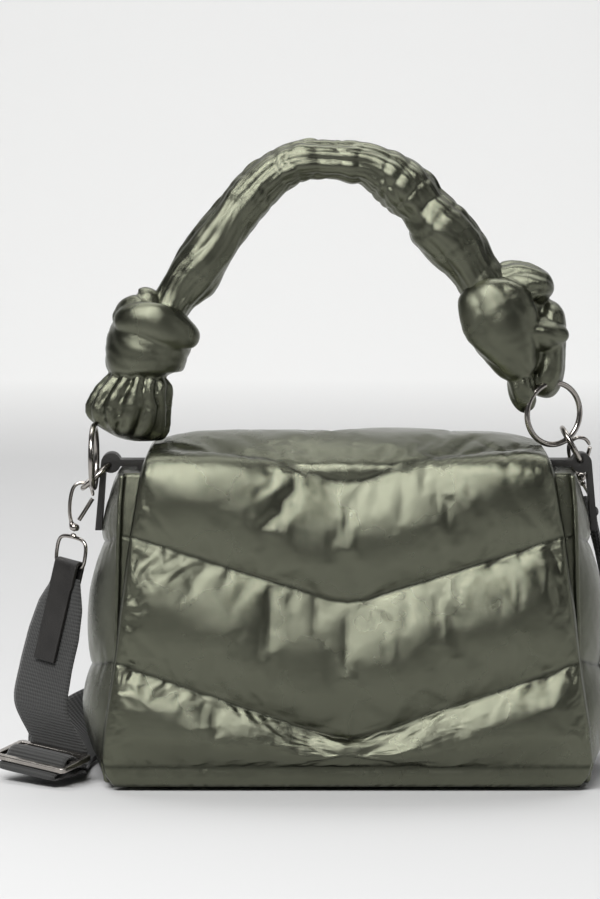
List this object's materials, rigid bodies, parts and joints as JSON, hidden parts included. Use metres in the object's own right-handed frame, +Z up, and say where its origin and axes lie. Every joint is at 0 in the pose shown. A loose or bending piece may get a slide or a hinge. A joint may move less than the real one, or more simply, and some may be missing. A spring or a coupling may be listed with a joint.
{
  "type": "puffer handbag",
  "caption": "Quilted puffer handbag with a full front flap, a knotted padded top handle on rings, and a clipped webbing crossbody strap lying round its back.",
  "frame": {"origin": "middle of the flat base, on the floor that the bag stands on", "axes": "+Z up through the handle, -Y out of the flap's quilted front, +X to the right as the front is seen"},
  "size_m": [0.3284, 0.1279, 0.3289],
  "materials": {
    "quilted_nylon": "satin coated nylon with a metallic olive sheen",
    "leather": "fine grain, semi-matt",
    "gunmetal": "polished dark gunmetal plating",
    "webbing": "matt ribbed webbing"
  },
  "bodies": {
    "bag": {"body_shell": "quilted_nylon", "flap": "quilted_nylon", "handle_arch": "quilted_nylon", "knot_left_band": "quilted_nylon", "knot_left_tail": "quilted_nylon", "handle_ring_left": "gunmetal", "tab_left": "leather", "tab_ring_left": "gunmetal", "clip_hook_left": "gunmetal", "clip_loop_left": "gunmetal", "knot_right_band": "quilted_nylon", "knot_right_tail": "quilted_nylon", "handle_ring_right": "gunmetal", "tab_right": "leather", "tab_ring_right": "gunmetal", "clip_hook_right": "gunmetal", "clip_loop_right": "gunmetal", "strap_end_left": "leather", "slider": "gunmetal", "webbing": "webbing"},
    "gate_left": {"clip_gate_left": "gunmetal"},
    "gate_right": {"clip_gate_right": "gunmetal"}
  },
  "joints": [
    {"name": "gate_left_hinge", "type": "hinge", "parent": "bag", "child": "gate_left", "pos_m": [-0.13885, 0, 0.13257], "axis": [0, -1, 0], "range_deg": [0, 15], "stiffness_Nm_per_rad": 0.01},
    {"name": "gate_right_hinge", "type": "hinge", "parent": "bag", "child": "gate_right", "pos_m": [0.12429, 0.01394, 0.15786], "axis": [0.1353, -0.897, -0.4209], "range_deg": [0, 15], "stiffness_Nm_per_rad": 0.01}
  ]
}
